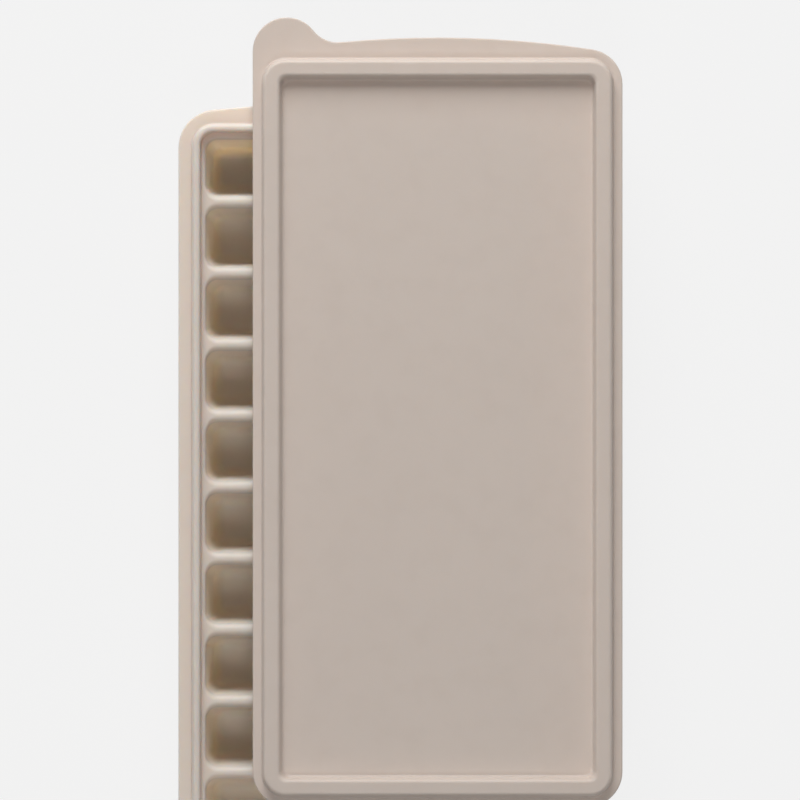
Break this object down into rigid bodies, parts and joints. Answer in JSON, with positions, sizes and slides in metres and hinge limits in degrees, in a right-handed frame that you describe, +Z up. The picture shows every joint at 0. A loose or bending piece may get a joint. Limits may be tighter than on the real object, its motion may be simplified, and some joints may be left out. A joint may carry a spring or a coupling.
{
  "type": "baby food freezer tray",
  "caption": "Soft silicone freezer tray with two rows of deep tapered cups and a matching lid with a pull tab.",
  "frame": {"origin": "on the table, under the middle of the box round the tray and its lid as it lies on it", "axes": "+Y along the tray's length, towards the lid's pull tab; +X across it; +Z up, out of the cups"},
  "size_m": [0.1368, 0.2632, 0.0363],
  "materials": {
    "tray_silicone": "soft matte food-grade silicone, warm sand",
    "lid_silicone": "soft matte food-grade silicone, dusky sand"
  },
  "bodies": {
    "tray": {"tray": "tray_silicone"},
    "lid": {"lid": "lid_silicone"}
  },
  "joints": [
    {"name": "lid_lift", "type": "slide", "parent": "tray", "child": "lid", "axis": [0, 0, 1], "range_m": [0, 0.1]}
  ]
}
